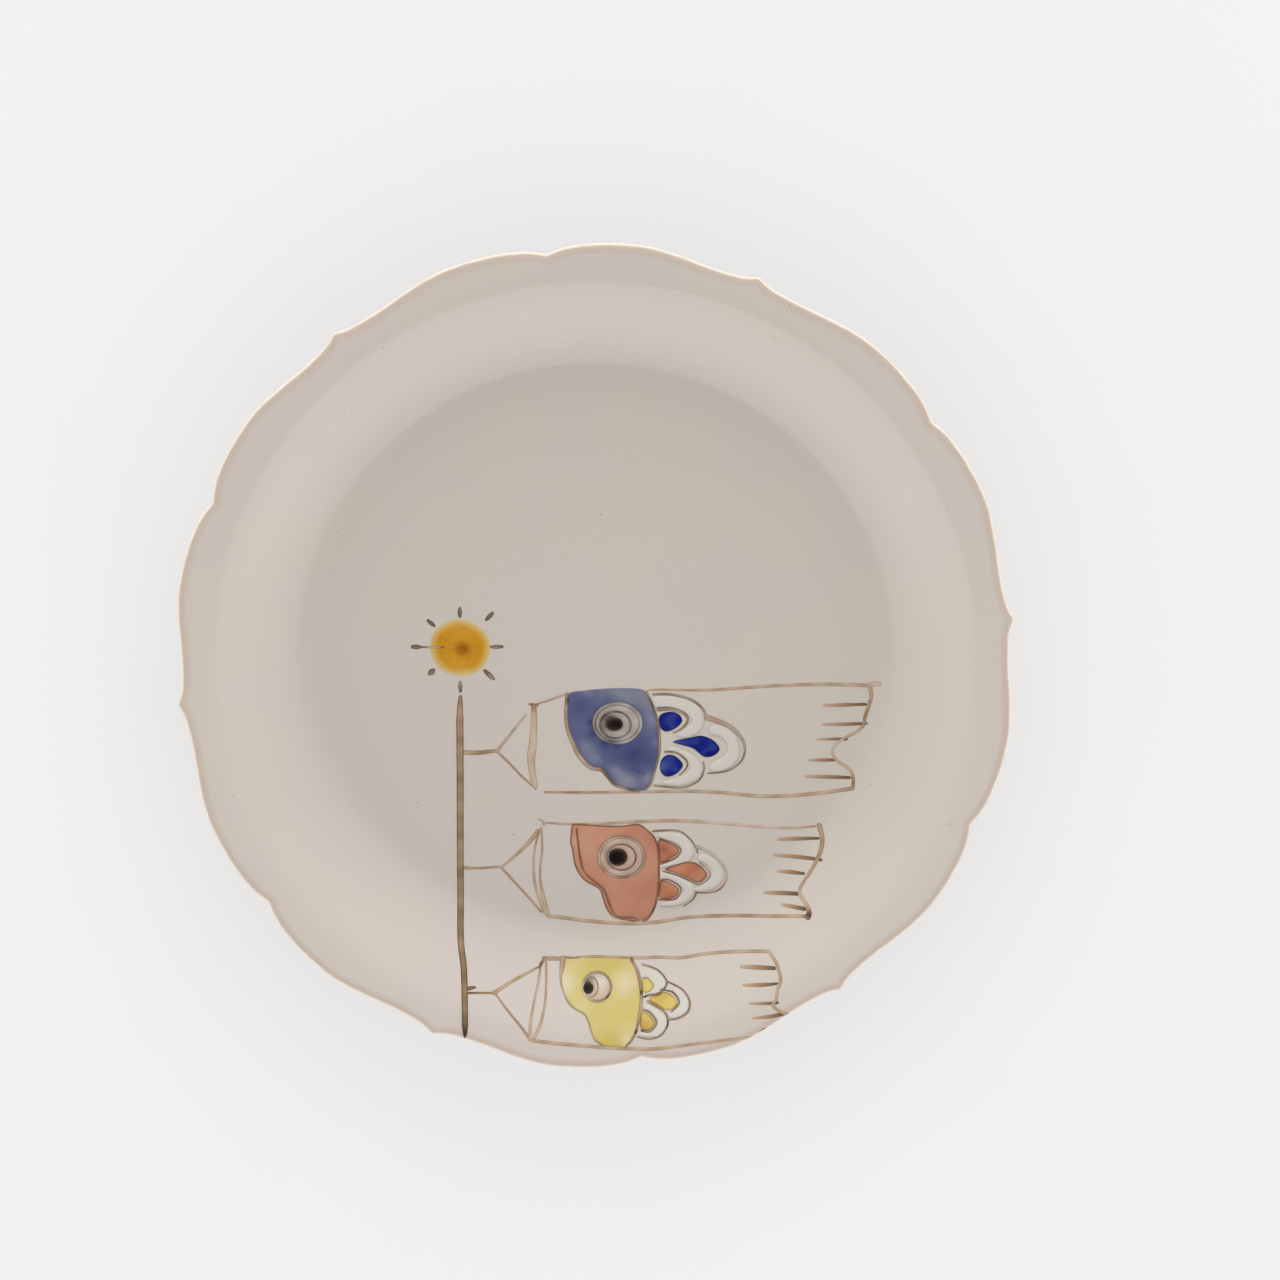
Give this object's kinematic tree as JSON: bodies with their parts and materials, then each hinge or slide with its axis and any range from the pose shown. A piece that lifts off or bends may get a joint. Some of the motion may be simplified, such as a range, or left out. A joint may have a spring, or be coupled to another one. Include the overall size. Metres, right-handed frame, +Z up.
{
  "type": "painted porcelain plate",
  "caption": "Shallow round porcelain plate with a lobed rim and a foot ring, hand-painted in raised enamel with a pole, a sun and carp streamers.",
  "frame": {"origin": "centre of the plane that the foot ring rests on", "axes": "+Z up out of the painted face, along the plate's axis; +Y towards the top of the painting; +X towards the carp's tails"},
  "size_m": [0.2102, 0.2116, 0.0261],
  "materials": {
    "porcelain": "glossy clear glaze on off-white porcelain, bare and matt on the edge of the foot ring",
    "pole_wash": "fired overglaze enamel, glossy",
    "sun_wash": "fired overglaze enamel, glossy",
    "sun_core_wash": "fired overglaze enamel, glossy",
    "grey_line": "fired overglaze enamel, glossy",
    "brown_line": "fired overglaze enamel, glossy",
    "blue_head_wash": "fired overglaze enamel, glossy",
    "eye_wash": "fired overglaze enamel, glossy",
    "black_enamel": "fired overglaze enamel, glossy",
    "blue_scale_wash": "fired overglaze enamel, glossy",
    "white_enamel": "fired overglaze enamel, glossy",
    "red_head_wash": "fired overglaze enamel, glossy",
    "red_scale_wash": "fired overglaze enamel, glossy",
    "yellow_head_wash": "fired overglaze enamel, glossy",
    "yellow_scale_wash": "fired overglaze enamel, glossy"
  },
  "bodies": {
    "root": {"porcelain_plate": "porcelain", "pole": "pole_wash", "sun_disc": "sun_wash", "sun_core": "sun_core_wash", "sun_rays": "grey_line", "blue_bridle": "brown_line", "blue_mouth_hoop": "brown_line", "blue_body_outline": "brown_line", "blue_tail_slits": "brown_line", "blue_head": "blue_head_wash", "blue_head_outline": "grey_line", "blue_eye_rings": "grey_line", "blue_eye_white": "eye_wash", "blue_pupil": "black_enamel", "blue_scales": "blue_scale_wash", "blue_scale_borders": "white_enamel", "blue_scale_outlines": "grey_line", "red_bridle": "brown_line", "red_mouth_hoop": "brown_line", "red_body_outline": "brown_line", "red_tail_slits": "brown_line", "red_head": "red_head_wash", "red_head_outline": "brown_line", "red_eye_rings": "grey_line", "red_eye_white": "eye_wash", "red_pupil": "black_enamel", "red_scales": "red_scale_wash", "red_scale_borders": "white_enamel", "red_scale_outlines": "grey_line", "yellow_bridle": "brown_line", "yellow_mouth_hoop": "brown_line", "yellow_body_outline": "brown_line", "yellow_tail_slits": "brown_line", "yellow_head": "yellow_head_wash", "yellow_head_outline": "grey_line", "yellow_eye_rings": "grey_line", "yellow_eye_white": "eye_wash", "yellow_pupil": "black_enamel", "yellow_scales": "yellow_scale_wash", "yellow_scale_borders": "white_enamel", "yellow_scale_outlines": "grey_line"}
  },
  "joints": []
}
